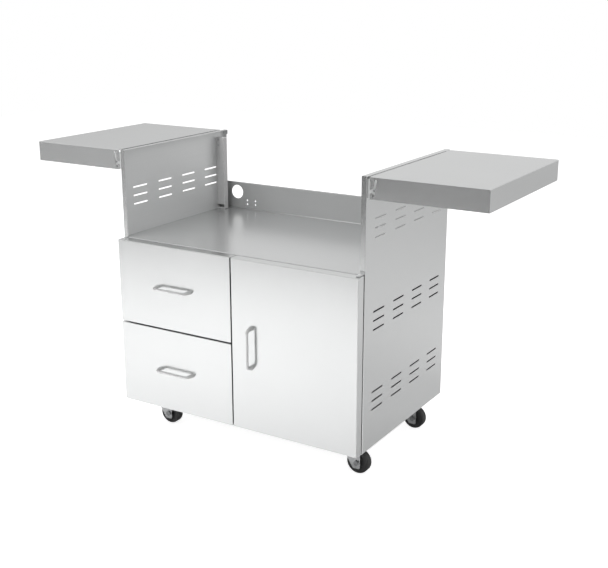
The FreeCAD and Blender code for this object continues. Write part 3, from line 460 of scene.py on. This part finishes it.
class GRILLCART_OT_handles(bpy.types.Operator):
    """Make the three bow handles and finish them"""
    bl_idname = "grillcart.handles"
    bl_label = "Bow handles"

    def execute(self, context):
        look = context.scene.cart_finish
        steel = brushed_steel("satin_cast_stainless_bow", look.bow, "X", roughness=0.42)
        for name, (bar, body, upright) in HANDLES.items():
            bow = bow_handle(name, bar, upright, context.scene.cart_handles)
            piece = add_piece(name, bow, body, steel)
            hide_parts(bar)
        return {"FINISHED"}


class GRILLCART_OT_slides(bpy.types.Operator):
    """Finish the drawers' telescopic slides"""
    bl_idname = "grillcart.slides"
    bl_label = "Drawer slides"

    def execute(self, context):
        look = context.scene.cart_finish
        finish(SLIDES, plated_steel("zinc_plated_rail", look.plating, roughness=0.32))
        return {"FINISHED"}


class GRILLCART_OT_hinges(bpy.types.Operator):
    """Finish the door's hinges and catch, and the shelves' brackets and fasteners"""
    bl_idname = "grillcart.hinges"
    bl_label = "Hinges, brackets and fasteners"

    def execute(self, context):
        look = context.scene.cart_finish
        finish(HINGE_PARTS, plated_steel("galvanised_bracket", look.sheet, roughness=0.5, metal=0.6))
        finish(FASTENERS, plated_steel("zinc_plated_fastener", look.plating, roughness=0.28))
        finish(["door_magnet_catch"], moulded("moulded_abs_catch", look.catch, roughness=0.5, grit=0.8))
        return {"FINISHED"}


class GRILLCART_OT_casters(bpy.types.Operator):
    """Finish the four swivel casters"""
    bl_idname = "grillcart.casters"
    bl_label = "Swivel casters"

    def execute(self, context):
        look = context.scene.cart_finish
        fork = plated_steel("zinc_plated_fork", look.plating, roughness=0.38)
        axle = plated_steel("zinc_plated_axle", look.axle, roughness=0.42)
        hub = moulded("moulded_polypropylene_hub", look.hub, roughness=0.5, grit=0.8)
        rubber = moulded("moulded_rubber_tyre", look.rubber, roughness=0.62, grit=1.2)
        for corner in CORNERS:
            finish([f"{corner}_caster_plate", f"{corner}_caster_fork"], fork)
            finish([f"{corner}_caster_axle"], axle)
            finish([f"{corner}_wheel_hub"], hub)
            finish([f"{corner}_tyre"], rubber)
        return {"FINISHED"}


def shown(tree, path):
    """Value that is 1 for what the eye sees straight on, in metal or through glass, and 0 for other light."""
    mirrored = node(tree, "ShaderNodeMath", {"operation": "MAXIMUM"},
                    {0: path.outputs["Is Glossy Ray"], 1: path.outputs["Is Transmission Ray"]})
    return node(tree, "ShaderNodeMath", {"operation": "MAXIMUM"},
                {0: path.outputs["Is Camera Ray"], 1: mirrored.outputs["Value"]}).outputs["Value"]


def studio_world(scene):
    """White backdrop that fades towards the ceiling, and a plain level of light for what isn't mirrored."""
    world = bpy.data.worlds.new("studio_room")
    scene.world = world
    world.use_nodes = True
    tree = world.node_tree
    tree.nodes.clear()
    path = node(tree, "ShaderNodeLightPath")
    ray = node(tree, "ShaderNodeTexCoord")
    split = node(tree, "ShaderNodeSeparateXYZ", None, {"Vector": ray.outputs["Generated"]})
    fade_end = 0.5
    fade = node(tree, "ShaderNodeMapRange", {"From Max": fade_end, "To Min": 1.0, "To Max": CEILING_LEVEL},
                {"Value": split.outputs["Z"]})
    level = node(tree, "ShaderNodeMix", {"A": ROOM_LIGHT},
                 {"Factor": shown(tree, path), "B": fade.outputs["Result"]})
    white = node(tree, "ShaderNodeBackground", {"Color": (1, 1, 1, 1)}, {"Strength": level.outputs["Result"]})
    node(tree, "ShaderNodeOutputWorld", None, {"Surface": white.outputs["Background"]})


def stage_sheet(name, corners, material):
    """Add one flat piece of the stage."""
    mesh = bpy.data.meshes.new(name)
    mesh.from_pydata(corners, [], [(0, 1, 2, 3)])
    mesh.materials.append(material)
    piece = bpy.data.objects.new(name, mesh)
    bpy.context.scene.collection.objects.link(piece)
    return piece


def studio_floor(reach):
    """Matt white floor: white to the eye and greyer in reflections, and it takes the cart's shadow."""
    material = new_material("painted_white_floor")
    tree = material.node_tree
    path = node(tree, "ShaderNodeLightPath")
    seen = node(tree, "ShaderNodeMath", {"operation": "MULTIPLY", 1: FLOOR_MIRRORED}, {0: shown(tree, path)})
    level = node(tree, "ShaderNodeMath", {"operation": "MULTIPLY_ADD", 1: FLOOR_SEEN - FLOOR_MIRRORED},
                 {0: path.outputs["Is Camera Ray"], 2: seen.outputs["Value"]})
    glow = node(tree, "ShaderNodeEmission", {"Color": (1, 1, 1, 1)}, {"Strength": level.outputs["Value"]})
    matt = node(tree, "ShaderNodeBsdfDiffuse", {"Color": (*linear(FLOOR_PAINT), 1)})
    both = node(tree, "ShaderNodeAddShader", None, {0: glow.outputs["Emission"], 1: matt.outputs["BSDF"]})
    node(tree, "ShaderNodeOutputMaterial", None, {"Surface": both.outputs["Shader"]})
    side, back = 7.0, 7.0
    corners = [(-side, -reach, 0), (side, -reach, 0), (side, back, 0), (-side, back, 0)]
    stage_sheet("studio_floor", corners, material)


def mirrored_card(name, start, end, low, high, level):
    """Upright card of the studio between two places on the floor, seen only in the steel."""
    material = new_material(f"{name}_cloth")
    tree = material.node_tree
    path = node(tree, "ShaderNodeLightPath")
    strength = node(tree, "ShaderNodeMapRange", {"To Min": ROOM_LIGHT, "To Max": level},
                    {"Value": path.outputs["Is Glossy Ray"]})
    glow = node(tree, "ShaderNodeEmission", {"Color": (1, 1, 1, 1)}, {"Strength": strength.outputs["Result"]})
    node(tree, "ShaderNodeOutputMaterial", None, {"Surface": glow.outputs["Emission"]})
    corners = [(*start, low), (*end, low), (*end, high), (*start, high)]
    stage_sheet(name, corners, material).visible_camera = False


def soft_light(name, place, size, power):
    """Hang a square softbox that shines straight down and isn't mirrored in the steel."""
    data = bpy.data.lights.new(name, "AREA")
    data.shape = "SQUARE"
    data.size = size
    data.energy = power
    lamp = bpy.data.objects.new(name, data)
    bpy.context.scene.collection.objects.link(lamp)
    lamp.location = place
    lamp.visible_glossy = False


class GRILLCART_OT_stage(bpy.types.Operator):
    """Set the floor, the light and the camera"""
    bl_idname = "grillcart.stage"
    bl_label = "Floor, light and camera"

    def execute(self, context):
        scene = context.scene
        stage = scene.cart_stage
        scene.view_settings.view_transform = "Standard"
        studio_world(scene)
        studio_floor(stage.room_end)
        side, back, wall_change = 5.0, 9.0, -1.6
        front_left, front_right = (-side, -stage.room_end), (side, -stage.room_end)
        front_change, back_left = (wall_change, -stage.room_end), (-side, back)
        wall_height, scrim_height, side_height = 1.2, 2.8, 2.2
        mirrored_card("room_end_left", front_left, front_change, 0.0, wall_height, WALL_LEFT)
        mirrored_card("room_end_right", front_change, front_right, 0.0, wall_height, WALL_RIGHT)
        mirrored_card("front_scrim", front_left, front_right, wall_height, scrim_height, SCRIM_LEVEL)
        mirrored_card("room_side", back_left, front_left, 0.0, side_height, SIDE_LEVEL)
        soft_light("front_softbox", place=(-0.95, -1.2, 2.4), size=1.6, power=stage.key_level)
        soft_light("back_softbox", place=(1.0, 1.2, 3.2), size=2.0, power=stage.fill_level)
        data = bpy.data.cameras.new("photo_camera")
        data.lens = stage.lens
        data.sensor_width = 36.0
        camera = bpy.data.objects.new("photo_camera", data)
        scene.collection.objects.link(camera)
        camera.location = stage.camera_place
        camera.rotation_euler = (stage.camera_tilt, 0.0, stage.camera_turn)
        scene.camera = camera
        return {"FINISHED"}


class GRILLCART_PT_build(bpy.types.Panel):
    """Lists the cart's steps and its finishes"""
    bl_label = "Grill Cart"
    bl_space_type = "VIEW_3D"
    bl_region_type = "UI"
    bl_category = "Grill Cart"

    def draw(self, context):
        column = self.layout.column()
        for step in STEPS:
            column.operator(step.bl_idname)
        scene = context.scene
        for settings in (scene.cart_finish, scene.cart_handles, scene.cart_stage):
            for name in settings.__annotations__:
                column.prop(settings, name)


STEPS = (GRILLCART_OT_sheet, GRILLCART_OT_trim, GRILLCART_OT_handles, GRILLCART_OT_slides,
         GRILLCART_OT_hinges, GRILLCART_OT_casters, GRILLCART_OT_stage)
CLASSES = (CartFinish, CartHandles, CartStage, *STEPS, GRILLCART_PT_build)


def register():
    """Add the classes and their settings to Blender."""
    for part in CLASSES:
        bpy.utils.register_class(part)
    bpy.types.Scene.cart_finish = PointerProperty(type=CartFinish)
    bpy.types.Scene.cart_handles = PointerProperty(type=CartHandles)
    bpy.types.Scene.cart_stage = PointerProperty(type=CartStage)


def unregister():
    """Take the classes and their settings away again."""
    del bpy.types.Scene.cart_stage
    del bpy.types.Scene.cart_handles
    del bpy.types.Scene.cart_finish
    for part in reversed(CLASSES):
        bpy.utils.unregister_class(part)


def main():
    """Dress the cart in order."""
    register()
    bpy.ops.grillcart.sheet()
    bpy.ops.grillcart.trim()
    bpy.ops.grillcart.handles()
    bpy.ops.grillcart.slides()
    bpy.ops.grillcart.hinges()
    bpy.ops.grillcart.casters()
    bpy.ops.grillcart.stage()


if __name__ == "__main__":
    main()
